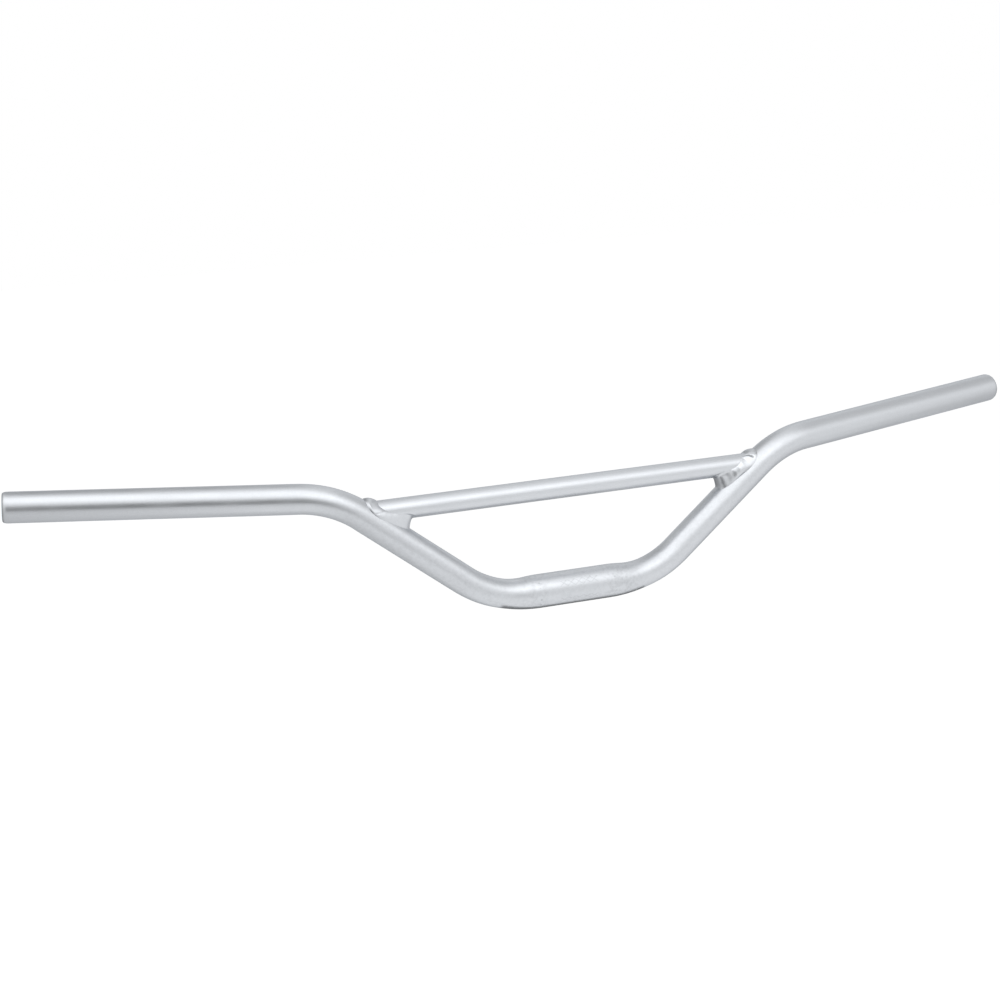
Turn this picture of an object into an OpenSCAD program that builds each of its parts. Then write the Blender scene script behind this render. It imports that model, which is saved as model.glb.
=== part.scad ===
// Riser bar for a bicycle: one bent tube with a swaged middle and a cross brace welded between its risers.
// Origin at the middle of the clamping length. +X runs along the bar, +Y towards the rider, +Z up.

/* [Bar] */
// Width of the bar from end to end
bar_width = 813; // [740:1:860]
// Height of the bar ends above the middle of the clamping length
bar_rise = 105.4; // [90:0.1:125]
// Outside diameter of the tube on the risers and the grips
tube_d = 22.2; // [21:0.1:23.8]
// Wall of the tube on the risers and the grips
tube_wall = 2; // [1.2:0.1:3]
// Bevel on both edges of each cut end
end_bevel = 0.4; // [0.2:0.1:0.5]

/* [Bends] */
// Distance from the middle of the bar to the lower corner of its centreline
lower_corner_x = 65.6; // [60:0.1:75]
// Slope of the risers, in degrees
riser_angle = 37.6; // [34:0.1:42]
// Angle by which the grips turn back towards the rider, in degrees
backsweep = 11.4; // [5:0.1:15]
// Angle by which the grips climb towards their ends, in degrees
upsweep = 4.1; // [0:0.1:7]
// Radius of the lower bends, on the centreline
lower_bend_r = 80; // [60:1:90]
// Radius of the upper bends, on the centreline
upper_bend_r = 80; // [60:1:90]

/* [Clamping length] */
// Outside diameter of the swaged middle
clamp_d = 25.4; // [25:0.1:27]
// Wall of the swaged middle
clamp_wall = 2.6; // [2:0.1:3.2]
// Length that keeps the full diameter, where the stem grips
clamp_len = 56; // [44:1:64]
// Length of the taper on each side, from the middle to the tube
taper_len = 32; // [24:1:40]

/* [Cross brace] */
// Outside diameter of the brace tube
brace_d = 15.9; // [12.7:0.1:18]
// Wall of the brace tube
brace_wall = 1.6; // [1:0.1:2.4]
// Height of the brace's axis above the middle of the clamping length
brace_height = 75.3; // [62:0.1:80]

/* [Weld beads] */
// Leg of the bead on each tube, over the top and the sides of the joint
weld_leg = 4.5; // [3.5:0.1:6]
// Length of the web that fills the sharp corner below the brace, along the brace
web_leg = 11; // [8:0.5:13]
// Height of the rounded crown above the line between the bead's toes
weld_crown = 1.8; // [1:0.1:2.5]
// Depth of the hollow in the face of the web
web_hollow = 0.3; // [0:0.1:1.5]
// Number of ripples round the joint
ripples = 24; // [12:1:30]
// Height of each ripple
ripple_h = 0.12; // [0.05:0.01:0.3]

/* [Hidden] */
$fn = 96;
tube_r = tube_d / 2;
clamp_r = clamp_d / 2;
brace_r = brace_d / 2;
bore_r = tube_r - tube_wall;
clamp_bore_r = clamp_r - clamp_wall;
// Straight runs and tapers pass into the bends by this length, under a skin of this thickness
seam_lap = 0.8;
seam_skin = 0.01;
// Mesh of the lofted tapers
loft_sides = 48;
loft_rings = 14;
// Bead mesh: rings for each ripple, points across the face, and how deep its edges dip into the tubes
rings_per_ripple = 4;
face_steps = 6;
toe_dip = 0.4;
root_dip = 1.2;
// The web reaches this many times as far along the bar as along the brace
web_slant = 1.13;

// Directions of the risers and the grips on the +X side
riser_dir = [cos(riser_angle), 0, sin(riser_angle)];
grip_dir = [cos(backsweep) * cos(upsweep), sin(backsweep) * cos(upsweep), sin(upsweep)];

// Height of the upper corner, worked out so that the bar ends lie at bar_rise
climb = tan(upsweep) / cos(backsweep);
corner_h = (bar_rise - (bar_width / 2 - lower_corner_x) * climb) / (1 - climb / tan(riser_angle));
lower_corner = [lower_corner_x, 0, 0];
upper_corner = lower_corner + riser_dir * (corner_h / sin(riser_angle));
grip_len = (bar_width / 2 - upper_corner[0]) / grip_dir[0];
bar_end = upper_corner + grip_dir * grip_len;

function unit(v) = v / norm(v);
// Angle between two unit directions
function turn(a, b) = acos(a * b);
// Length that a bend takes off each straight run at its corner
function setback(a, b, r) = r * tan(turn(a, b) / 2);
// Unit direction across a, towards b
function across(a, b) = unit(b - a * (a * b));

lower_start = lower_corner - [1, 0, 0] * setback([1, 0, 0], riser_dir, lower_bend_r);
lower_end = lower_corner + riser_dir * setback([1, 0, 0], riser_dir, lower_bend_r);
upper_start = upper_corner - riser_dir * setback(riser_dir, grip_dir, upper_bend_r);
upper_end = upper_corner + grip_dir * setback(riser_dir, grip_dir, upper_bend_r);
upper_centre = upper_start + across(riser_dir, grip_dir) * upper_bend_r;

// The taper begins on the straight middle and ends inside the lower bend
taper_start = clamp_len / 2;
taper_end = taper_start + taper_len;

// Centreline of the middle and the lower bend at distance s from the middle of the bar
function bend_angle(s) = max(0, s - lower_start[0]) / lower_bend_r * 180 / PI;
function centre_at(s) = s <= lower_start[0]
    ? [s, 0, 0]
    : lower_start + lower_bend_r * [sin(bend_angle(s)), 0, 1 - cos(bend_angle(s))];
// Radius along the taper: a cosine blend from the middle's radius to the tube's
function taper_share(s) = min(1, max(0, (s - taper_start) / taper_len));
function taper_r(s, thick, thin) = thin + (thick - thin) * (1 + cos(180 * taper_share(s))) / 2;

// Round rod from one point to another
module rod(from, to, r) {
    way = to - from;
    translate(from)
        rotate([0, acos(way[2] / norm(way)), atan2(way[1], way[0])])
            cylinder(h = norm(way), r = r);
}

// Bend of a round rod that starts at a point in direction a and ends in direction b, less a first part of its angle
module bend(start, a, b, bend_r, r, skip = 0) {
    toward = across(a, b);
    middle = start + toward * bend_r;
    up = cross(-toward, a);
    multmatrix([
        [-toward[0], a[0], up[0], middle[0]],
        [-toward[1], a[1], up[1], middle[1]],
        [-toward[2], a[2], up[2], middle[2]],
        [0, 0, 0, 1]
    ])
        rotate([0, 0, skip])
            rotate_extrude(angle = turn(a, b) - skip)
                translate([bend_r, 0])
                    circle(r = r);
}

// Solid loft along the centreline between the middle and the lower bend
module taper_loft(thick, thin) {
    from = taper_start - seam_lap;
    to = taper_end + seam_lap;
    points = [
        for (i = [0:loft_rings], j = [0:loft_sides - 1])
            let (
                s = from + (to - from) * i / loft_rings,
                r = taper_r(s, thick, thin) - seam_skin,
                spin = 360 * j / loft_sides,
                tilt = bend_angle(s)
            )
            centre_at(s) + r * [-sin(tilt) * sin(spin), cos(spin), cos(tilt) * sin(spin)]
    ];
    sides = [
        for (i = [0:loft_rings - 1], j = [0:loft_sides - 1])
            let (k = (j + 1) % loft_sides)
            [
                i * loft_sides + j,
                (i + 1) * loft_sides + j,
                (i + 1) * loft_sides + k,
                i * loft_sides + k
            ]
    ];
    near_cap = [for (j = [0:loft_sides - 1]) j];
    far_cap = [for (j = [loft_sides - 1:-1:0]) loft_rings * loft_sides + j];
    polyhedron(points, concat(sides, [near_cap, far_cap]), convexity = 4);
}

// Riser, upper bend and grip of the +X side as one round rod, which also cuts the copes
module riser_and_grip(r, over = 0) {
    rod(lower_end - riser_dir * seam_lap, upper_start + riser_dir * seam_lap, r);
    bend(upper_start, riser_dir, grip_dir, upper_bend_r, r + seam_skin);
    rod(upper_end - grip_dir * seam_lap, bar_end + grip_dir * over, r);
}

// Solid round bar on the bent centreline, from the +X end of the middle to the end of the grip
module bar_side(thick, thin, over = 0) {
    taper_loft(thick, thin);
    bend(lower_start, [1, 0, 0], riser_dir, lower_bend_r, thin + seam_skin, bend_angle(taper_end));
    riser_and_grip(thin, over);
}

// Whole bar as one solid
module bar_form(thick, thin, over = 0) {
    rod([-taper_start, 0, 0], [taper_start, 0, 0], thick);
    bar_side(thick, thin, over);
    mirror([1, 0, 0])
        bar_side(thick, thin, over);
}

// Puts its children at the cut end of the +X side, with Z along the grip
module at_bar_end() {
    translate(bar_end)
        rotate([0, acos(grip_dir[2]), atan2(grip_dir[1], grip_dir[0])])
            children();
}

// Ring and cone that take off the outer and the inner edge of a cut end
module end_bevels() {
    at_bar_end() {
        difference() {
            translate([0, 0, -end_bevel])
                cylinder(h = 2 * end_bevel, r = tube_r + end_bevel);
            translate([0, 0, -end_bevel])
                cylinder(h = 2 * end_bevel, r1 = tube_r, r2 = tube_r - 2 * end_bevel);
        }
        translate([0, 0, -end_bevel])
            cylinder(h = 2 * end_bevel, r1 = bore_r, r2 = bore_r + 2 * end_bevel);
    }
}

// The bent tube with its open bore, thicker where the stem grips it
module main_tube() {
    color("silver")
        difference() {
            bar_form(clamp_r, tube_r);
            bar_form(clamp_bore_r, bore_r, 1);
            end_bevels();
            mirror([1, 0, 0])
                end_bevels();
        }
}

// Where the axis of the brace meets the riser's axis, before the upper bend is counted
brace_reach = lower_corner_x + brace_height / tan(riser_angle);

// Round rod on the brace's axis, long enough to end inside both risers
module brace_rod(r) {
    rod([-brace_reach, 0, brace_height], [brace_reach, 0, brace_height], r);
}

// The brace tube, its ends coped to the risers
module cross_brace() {
    color("silver")
        difference() {
            brace_rod(brace_r);
            brace_rod(brace_r - brace_wall);
            riser_and_grip(tube_r);
            mirror([1, 0, 0])
                riser_and_grip(tube_r);
        }
}

// Point of the bar's centreline that is nearest to q, on the riser or in the upper bend
function nearest_centre(q) =
    let (
        along = (q - lower_corner) * riser_dir,
        straight = norm(upper_start - lower_corner),
        out = across(riser_dir, grip_dir),
        side = q - upper_centre,
        in_plane = riser_dir * (side * riser_dir) + out * (side * out)
    )
    along <= straight
        ? lower_corner + riser_dir * along
        : upper_centre + unit(in_plane) * upper_bend_r;

// X at which the line on the brace's surface at angle phi, from its top, enters the bar
function entry_x(y, z, low, high, steps) =
    let (mid = (low + high) / 2, q = [mid, y, z])
    steps == 0
        ? mid
        : norm(q - nearest_centre(q)) > tube_r
            ? entry_x(y, z, mid, high, steps - 1)
            : entry_x(y, z, low, mid, steps - 1);

// Root of the joint at angle phi round the brace
function root_at(phi) =
    let (y = -brace_r * sin(phi), z = brace_height + brace_r * cos(phi))
    [entry_x(y, z, lower_corner_x, lower_corner_x + z / tan(riser_angle), 26), y, z];

// Share of the web in the bead at angle phi: none over the top, all of it in the sharp corner below.
// The higher the power, the closer the web keeps to the corner.
function web_share(phi, power) = pow((1 - cos(phi)) / 2, power);

// Ring of the bead at angle phi: toe on the brace, rounded face, toe on the bar, and a buried root
function bead_ring(phi, wave) =
    let (
        root = root_at(phi),
        run = unit(root_at(phi + 1) - root_at(phi - 1)),
        brace_out = [0, -sin(phi), cos(phi)],
        bar_out = unit(root - nearest_centre(root)),
        on_brace = unit(cross(run, brace_out)),
        on_bar = unit(cross(bar_out, run)),
        web = web_share(phi, 8),
        swell = 1 + 0.02 * wave,
        brace_leg = (weld_leg + (web_leg - weld_leg) * web_share(phi, 14)) * swell,
        bar_leg = (weld_leg + (web_slant * web_leg - weld_leg) * web_share(phi, 6)) * swell,
        brace_toe_flat = root + on_brace * brace_leg,
        bar_toe_flat = root + on_bar * bar_leg,
        brace_axis = [brace_toe_flat[0], 0, brace_height],
        bar_axis = nearest_centre(bar_toe_flat),
        brace_toe = brace_axis + unit(brace_toe_flat - brace_axis) * (brace_r - toe_dip),
        bar_toe = bar_axis + unit(bar_toe_flat - bar_axis) * (tube_r - toe_dip),
        buried = root - unit(brace_out + bar_out) * root_dip,
        outward = unit((brace_toe + bar_toe) / 2 - buried),
        crown = weld_crown * (1 - web) - web_hollow * web + ripple_h * wave
    )
    concat(
        [
            for (i = [0:face_steps])
                let (t = i / face_steps)
                brace_toe * (1 - t) + bar_toe * t + outward * (crown * 4 * t * (1 - t))
        ],
        [buried]
    );

// Closed ring of weld metal round the right joint, cut to the outside of both tubes
module weld_bead() {
    rings = ripples * rings_per_ripple;
    width = face_steps + 2;
    points = [
        for (i = [0:rings - 1], p = bead_ring(360 * i / rings, cos(360 * i / rings_per_ripple)))
            p
    ];
    faces = [
        for (i = [0:rings - 1], j = [0:width - 1])
            let (n = (i + 1) % rings, k = (j + 1) % width)
            [i * width + j, i * width + k, n * width + k, n * width + j]
    ];
    difference() {
        polyhedron(points, faces, convexity = 8);
        brace_rod(brace_r);
        riser_and_grip(tube_r);
    }
}

module weld_bead_right() {
    color("gainsboro")
        weld_bead();
}

module weld_bead_left() {
    color("gainsboro")
        mirror([1, 0, 0])
            weld_bead();
}

main_tube();
cross_brace();
weld_bead_left();
weld_bead_right();
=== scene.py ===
"""Dresses the riser bar: a bent, swaged and blasted tube with a cross brace welded between its risers."""

import logging
import math
from dataclasses import dataclass
from enum import Enum

import bpy
import numpy as np
from mathutils import Matrix


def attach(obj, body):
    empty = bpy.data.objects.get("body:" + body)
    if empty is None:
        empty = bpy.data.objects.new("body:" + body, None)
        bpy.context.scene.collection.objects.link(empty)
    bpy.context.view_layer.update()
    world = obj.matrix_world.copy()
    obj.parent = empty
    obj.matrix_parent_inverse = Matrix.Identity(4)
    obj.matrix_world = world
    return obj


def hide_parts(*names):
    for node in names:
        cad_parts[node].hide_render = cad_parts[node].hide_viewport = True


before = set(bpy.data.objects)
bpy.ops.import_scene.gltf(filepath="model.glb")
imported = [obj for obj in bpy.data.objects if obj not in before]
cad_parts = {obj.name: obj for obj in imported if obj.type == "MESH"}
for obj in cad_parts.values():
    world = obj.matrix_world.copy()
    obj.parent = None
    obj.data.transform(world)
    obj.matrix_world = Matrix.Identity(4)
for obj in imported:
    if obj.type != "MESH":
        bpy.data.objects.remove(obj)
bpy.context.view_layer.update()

MM = 0.001
PHOTO_SIDE = 1000

logging.basicConfig(level=logging.INFO, format="%(levelname)s %(message)s")
LOG = logging.getLogger("riser_bar")


class Side(Enum):
    """The two halves of the bar, as the sign of X."""

    RIGHT = 1.0
    LEFT = -1.0


def unit(v: np.ndarray) -> np.ndarray:
    """Vectors along the last axis, scaled to length one."""
    return v / np.linalg.norm(v, axis=-1, keepdims=True)


def smooth_step(x: np.ndarray, low: float, high: float) -> np.ndarray:
    """Rises from 0 at low to 1 at high as 3t^2 - 2t^3.

    Args:
        x: Where to work it out.
        low: Where the rise starts.
        high: Where the rise ends.

    Returns:
        The height of the step at each x.
    """
    t = np.clip((x - low) / (high - low), 0.0, 1.0)
    return t * t * (3.0 - 2.0 * t)


def turned(v: np.ndarray, axis: np.ndarray, angle: np.ndarray) -> np.ndarray:
    """Turns a vector about a unit axis, by Rodrigues' formula.

    Args:
        v: The vector, of shape (3,).
        axis: The unit axis, of shape (3,).
        angle: Angles in radians, of shape (n,).

    Returns:
        One turned vector for each angle, of shape (n, 3).
    """
    c, s = np.cos(angle)[:, None], np.sin(angle)[:, None]
    return v * c + np.cross(axis, v) * s + axis * (axis @ v) * (1.0 - c)


def grid_mesh(
    name: str, points: np.ndarray, marks: dict[str, np.ndarray], sharp_degrees: float = 35.0
) -> bpy.types.Object:
    """Makes a mesh from a grid of points that closes on itself both ways, like a ring doughnut.

    Face (i, j) joins the points (i, j), (i+1, j), (i+1, j+1) and (i, j+1), with both indices taken round.

    Args:
        name: Name of the piece.
        points: Array of shape (rows, columns, 3), in metres.
        marks: Arrays of shape (rows, columns) by name, which the finish reads as point attributes.
        sharp_degrees: Edges that bend more than this stay sharp.

    Returns:
        The new object, with its place in its mesh.
    """
    rows, columns = points.shape[:2]
    i, j = np.meshgrid(np.arange(rows), np.arange(columns), indexing="ij")
    i2, j2 = (i + 1) % rows, (j + 1) % columns
    quads = np.stack([i * columns + j, i2 * columns + j, i2 * columns + j2, i * columns + j2], -1)
    quads = quads.reshape(-1, 4)
    mesh = bpy.data.meshes.new(name)
    mesh.vertices.add(rows * columns)
    mesh.vertices.foreach_set("co", points.reshape(-1).astype(np.float32))
    mesh.loops.add(quads.size)
    mesh.loops.foreach_set("vertex_index", quads.reshape(-1).astype(np.int32))
    mesh.polygons.add(len(quads))
    mesh.polygons.foreach_set("loop_start", np.arange(0, quads.size, 4, dtype=np.int32))
    mesh.update(calc_edges=True)
    mesh.validate()
    for mark, values in marks.items():
        attribute = mesh.attributes.new(mark, "FLOAT", "POINT")
        attribute.data.foreach_set("value", values.reshape(-1).astype(np.float32))
    mesh.polygons.foreach_set("use_smooth", np.ones(len(mesh.polygons), dtype=bool))
    mesh.set_sharp_from_angle(angle=math.radians(sharp_degrees))
    piece = bpy.data.objects.new(name, mesh)
    bpy.context.scene.collection.objects.link(piece)
    return piece


@dataclass(frozen=True)
class Bend:
    """A round bend of the centreline.

    Attributes:
        start: Point where the bend begins.
        into: Unit direction before the bend.
        toward: Unit direction from the start to the centre of the bend.
        radius: Radius on the centreline.
        angle: Angle of the bend, in radians.
    """

    start: np.ndarray
    into: np.ndarray
    toward: np.ndarray
    radius: float
    angle: float

    @property
    def length(self) -> float:
        """Arc length of the bend."""
        return self.radius * self.angle

    @property
    def axis(self) -> np.ndarray:
        """Unit axis that the bend turns about."""
        return np.cross(self.into, self.toward)

    @property
    def centre(self) -> np.ndarray:
        """Centre of the bend."""
        return self.start + self.toward * self.radius


@dataclass(frozen=True)
class BarLine:
    """The bent centreline of one half of the bar, from its middle to its +X end, in metres.

    Straight middle, lower bend in the upright plane, straight riser, upper bend that also turns back, and
    straight grip. The width is between the middles of the cut ends.
    """

    width: float = 813.0 * MM
    rise: float = 105.4 * MM
    lower_corner_x: float = 65.6 * MM
    riser_angle: float = math.radians(37.6)
    backsweep: float = math.radians(11.4)
    upsweep: float = math.radians(4.1)
    lower_radius: float = 80.0 * MM
    upper_radius: float = 80.0 * MM

    @property
    def middle_dir(self) -> np.ndarray:
        """Direction of the clamping length."""
        return np.array([1.0, 0.0, 0.0])

    @property
    def riser_dir(self) -> np.ndarray:
        """Direction of the riser."""
        return np.array([math.cos(self.riser_angle), 0.0, math.sin(self.riser_angle)])

    @property
    def grip_dir(self) -> np.ndarray:
        """Direction of the grip."""
        level = math.cos(self.upsweep)
        return np.array(
            [math.cos(self.backsweep) * level, math.sin(self.backsweep) * level, math.sin(self.upsweep)]
        )

    @property
    def lower_corner(self) -> np.ndarray:
        """Point where the middle and the riser would meet without the bend."""
        return np.array([self.lower_corner_x, 0.0, 0.0])

    @property
    def upper_corner(self) -> np.ndarray:
        """Point where the riser and the grip would meet without the bend."""
        climb = math.tan(self.upsweep) / math.cos(self.backsweep)
        height = (self.rise - (self.width / 2 - self.lower_corner_x) * climb) / (
            1 - climb / math.tan(self.riser_angle)
        )
        return self.lower_corner + self.riser_dir * (height / math.sin(self.riser_angle))

    @property
    def end(self) -> np.ndarray:
        """Middle of the cut end."""
        reach = (self.width / 2 - self.upper_corner[0]) / self.grip_dir[0]
        return self.upper_corner + self.grip_dir * reach

    def bend(self, corner: np.ndarray, a: np.ndarray, b: np.ndarray, radius: float) -> Bend:
        """Bend that rounds a corner.

        Args:
            corner: The sharp corner.
            a: Unit direction before it.
            b: Unit direction after it.
            radius: Radius of the bend.

        Returns:
            The bend, which starts radius times the tangent of half its angle before the corner.
        """
        angle = math.acos(float(a @ b))
        return Bend(corner - a * radius * math.tan(angle / 2), a, unit(b - a * (a @ b)), radius, angle)

    @property
    def lower_bend(self) -> Bend:
        """Bend between the middle and the riser."""
        return self.bend(self.lower_corner, self.middle_dir, self.riser_dir, self.lower_radius)

    @property
    def upper_bend(self) -> Bend:
        """Bend between the riser and the grip."""
        return self.bend(self.upper_corner, self.riser_dir, self.grip_dir, self.upper_radius)

    @property
    def marks(self) -> list[float]:
        """Arc lengths where the lower bend, the riser, the upper bend and the grip start, and the end's."""
        low, up = self.lower_bend, self.upper_bend
        first = float(low.start[0])
        second = first + low.length
        riser = float(np.linalg.norm(self.upper_corner - self.lower_corner))
        third = second + riser - low.radius * math.tan(low.angle / 2) - up.radius * math.tan(up.angle / 2)
        fourth = third + up.length
        grip = float(np.linalg.norm(self.end - self.upper_corner)) - up.radius * math.tan(up.angle / 2)
        return [first, second, third, fourth, fourth + grip]

    def at(self, s: np.ndarray) -> tuple[np.ndarray, np.ndarray, np.ndarray, np.ndarray]:
        """Places a frame along the centreline that doesn't twist.

        On a straight run the frame keeps its directions. In a bend it turns about the bend's axis by the arc
        length over the radius.

        Args:
            s: Arc lengths from the middle, of shape (n,), none negative.

        Returns:
            The centres, the directions along the bar, and the two directions across it, each of shape (n, 3).
            The first across points to the front of the bar and the second up, before the bends turn them.
        """
        first, second, third, fourth, _ = self.marks
        low, up = self.lower_bend, self.upper_bend
        ways = [np.array([1.0, 0.0, 0.0]), np.array([0.0, -1.0, 0.0]), np.array([0.0, 0.0, 1.0])]
        turn_low = np.clip(s - first, 0.0, low.length) / low.radius
        turn_up = np.clip(s - third, 0.0, up.length) / up.radius
        after_low = [turned(w, low.axis, np.array([low.angle]))[0] for w in ways]
        along, front, above = (
            np.where((s < second)[:, None], turned(w, low.axis, turn_low), turned(w_low, up.axis, turn_up))
            for w, w_low in zip(ways, after_low)
        )
        low_arc = low.start + low.radius * (
            np.sin(turn_low)[:, None] * low.into + (1 - np.cos(turn_low))[:, None] * low.toward
        )
        up_arc = up.start + up.radius * (
            np.sin(turn_up)[:, None] * up.into + (1 - np.cos(turn_up))[:, None] * up.toward
        )
        riser_run = self.riser_dir * (s - third)[:, None] + up.start
        grip_run = self.grip_dir * (s - fourth)[:, None] + self.upper_corner
        grip_run = grip_run + self.grip_dir * up.radius * math.tan(up.angle / 2)
        centre = np.where((s <= first)[:, None], self.middle_dir * s[:, None], low_arc)
        centre = np.where((s > second)[:, None], riser_run, centre)
        centre = np.where((s > third)[:, None], up_arc, centre)
        centre = np.where((s > fourth)[:, None], grip_run, centre)
        return centre, along, front, above

    def nearest(self, q: np.ndarray) -> np.ndarray:
        """Nearest point of the centreline on the riser or in the upper bend.

        Args:
            q: Points, of shape (n, 3).

        Returns:
            One point of the centreline for each.
        """
        up = self.upper_bend
        along = (q - self.lower_corner) @ self.riser_dir
        straight = float(np.linalg.norm(up.start - self.lower_corner))
        side = q - up.centre
        flat = (side @ up.into)[:, None] * up.into + (side @ up.toward)[:, None] * up.toward
        on_riser = self.lower_corner + along[:, None] * self.riser_dir
        return np.where((along <= straight)[:, None], on_riser, up.centre + unit(flat) * up.radius)


def srgb(hex_colour: str) -> tuple[float, float, float, float]:
    """Turns an sRGB hex colour into linear light.

    Args:
        hex_colour: Colour such as "#c0c4c8".

    Returns:
        Linear red, green, blue and an alpha of one.
    """
    parts = [int(hex_colour[k : k + 2], 16) / 255 for k in (1, 3, 5)]
    linear = [p / 12.92 if p <= 0.04045 else ((p + 0.055) / 1.055) ** 2.4 for p in parts]
    return linear[0], linear[1], linear[2], 1.0


def add_node(
    tree: bpy.types.NodeTree,
    kind: str,
    inputs: dict[str | int, object] | None = None,
    links: dict[str | int, bpy.types.NodeSocket] | None = None,
    **settings: object,
) -> bpy.types.Node:
    """Adds a node with its settings, values and links.

    Args:
        tree: Node tree that gets it.
        kind: Type name of the node.
        inputs: Values by socket name or number.
        links: Output sockets that feed its inputs, by socket name or number.
        settings: Attributes of the node.

    Returns:
        The new node.
    """
    node = tree.nodes.new(kind)
    for key, value in settings.items():
        setattr(node, key, value)
    for key, value in (inputs or {}).items():
        node.inputs[key].default_value = value
    for key, source in (links or {}).items():
        tree.links.new(source, node.inputs[key])
    return node


def maths(
    tree: bpy.types.NodeTree,
    operation: str,
    links: dict[int, bpy.types.NodeSocket],
    inputs: dict[int, float] | None = None,
) -> bpy.types.NodeSocket:
    """Adds a sum.

    Args:
        tree: Node tree that gets it.
        operation: Name of the operation.
        links: Sockets that feed its inputs, by number.
        inputs: Values by number.

    Returns:
        The socket that carries the result.
    """
    return add_node(tree, "ShaderNodeMath", inputs, links, operation=operation).outputs[0]


def empty_tree(owner: bpy.types.Material | bpy.types.World) -> bpy.types.NodeTree:
    """Switches on the nodes of a material or a world, and takes the first ones out.

    Args:
        owner: The material or the world.

    Returns:
        Its empty node tree.
    """
    owner.use_nodes = True
    owner.node_tree.nodes.clear()
    return owner.node_tree


@dataclass(frozen=True)
class BlastedAluminium:
    """Bead-blasted and clear anodised aluminium: a soft silver sheen with broad highlights and a fine grain.

    Two point attributes steer it where a piece has them. "shade" is how far the metal goes to its dull
    colour: for the real cut lines and dents, and as painted shade at the rounded cut ends and on the weld
    toes, creases and web corners. "worked" is how strongly the blotches of swaging show.

    Attributes:
        name: Name of the finish.
        colour: Colour of the metal seen square on.
        dull: Colour of bare or oxidised metal in cut lines, also the painted shade on rounded ends and beads.
        edge: Colour of the metal seen at a glancing angle, where the tiny craters hide part of the light.
        roughness: Mean roughness, which the blasting sets.
        roughness_spread: How far the roughness wanders either way over the surface.
        grit: Size of the blasting marks in metres, drawn coarser than the real 0.1 mm so that they show.
        grit_depth: Height of the marks in metres.
        speckle: Share of the dull colour in the darkest of the marks.
        blotch: Size of the blotches of worked metal, in metres.
        blotch_share: Share of the dull colour in the darkest blotch.
        blotch_rough: Roughness that a blotch adds, for each share of the dull colour in it.
        cloud: Size of the slow changes from the anodising bath, in metres.
        detail: How much finer noise is laid over each noise.
    """

    name: str
    colour: str = "#d1d4d8"
    dull: str = "#6b6d70"
    edge: str = "#cacccf"
    roughness: float = 0.38
    roughness_spread: float = 0.04
    grit: float = 0.9 * MM
    grit_depth: float = 0.010 * MM
    speckle: float = 0.08
    blotch: float = 2.6 * MM
    blotch_share: float = 0.16
    blotch_rough: float = 0.4
    cloud: float = 30.0 * MM
    detail: float = 2.5

    def noise(
        self, tree: bpy.types.NodeTree, size: float, span: tuple[float, float, float, float]
    ) -> bpy.types.NodeSocket:
        """Noise over the surface, stretched from one span of values to another.

        Args:
            tree: Node tree that gets the nodes.
            size: Size of the marks in metres.
            span: Lowest and highest noise that are told apart, and what they become.

        Returns:
            The socket that carries the result.
        """
        place = add_node(tree, "ShaderNodeTexCoord").outputs["Object"]
        sizes = {"Scale": 1.0 / size, "Detail": self.detail}
        field = add_node(tree, "ShaderNodeTexNoise", sizes, {"Vector": place})
        ends = dict(zip(("From Min", "From Max", "To Min", "To Max"), span))
        return add_node(tree, "ShaderNodeMapRange", ends, {"Value": field.outputs["Fac"]}).outputs[0]

    def material(self) -> bpy.types.Material:
        """Builds the finish.

        Slow noise moves the roughness a little, as blasting by hand does. Fine noise bumps and speckles the
        surface, which breaks up the edge of each highlight. Blotches show where the metal was worked, and the
        dull colour where the shade attribute is high.

        Returns:
            The new material.
        """
        made = bpy.data.materials.new(self.name)
        tree = empty_tree(made)
        low, high = self.roughness - self.roughness_spread, self.roughness + self.roughness_spread
        slow = self.noise(tree, self.cloud, (0.25, 0.75, low, high))
        fine = self.noise(tree, self.grit, (0.25, 0.75, 0.0, 1.0))
        blotches = self.noise(tree, self.blotch, (0.4, 0.7, 0.0, self.blotch_share))
        worked = add_node(tree, "ShaderNodeAttribute", attribute_name="worked").outputs["Fac"]
        shade = add_node(tree, "ShaderNodeAttribute", attribute_name="shade").outputs["Fac"]
        patches = maths(tree, "MULTIPLY", {0: blotches, 1: worked})
        marked = maths(tree, "ADD", {0: patches, 1: shade})
        share = maths(tree, "MULTIPLY_ADD", {0: fine, 2: marked}, {1: self.speckle})
        metals = {6: srgb(self.colour), 7: srgb(self.dull)}
        colour = add_node(tree, "ShaderNodeMix", metals, {0: share}, data_type="RGBA").outputs[2]
        rough = maths(tree, "MULTIPLY_ADD", {0: patches, 2: slow}, {1: self.blotch_rough})
        relief = {"Strength": 1.0, "Distance": self.grit_depth}
        bump = add_node(tree, "ShaderNodeBump", relief, {"Height": fine}).outputs["Normal"]
        shader = add_node(
            tree,
            "ShaderNodeBsdfPrincipled",
            {"Metallic": 1.0, "Specular Tint": srgb(self.edge)},
            {"Base Color": colour, "Roughness": rough, "Normal": bump},
        )
        add_node(tree, "ShaderNodeOutputMaterial", {}, {"Surface": shader.outputs["BSDF"]})
        return made


def dress(piece: bpy.types.Object, material: bpy.types.Material) -> None:
    """Gives every face of a piece one material.

    Args:
        piece: The piece.
        material: Its finish.
    """
    piece.data.materials.clear()
    piece.data.materials.append(material)


@dataclass(frozen=True)
class Dimple:
    """A small round dent in the bar.

    Attributes:
        along: Signed distance from the middle along the bar, in metres.
        spin: Degrees round the bar from its front, positive upwards.
        radius: Radius in metres.
        depth: Depth in metres.
    """

    along: float
    spin: float
    radius: float = 0.6 * MM
    depth: float = 0.10 * MM


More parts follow.
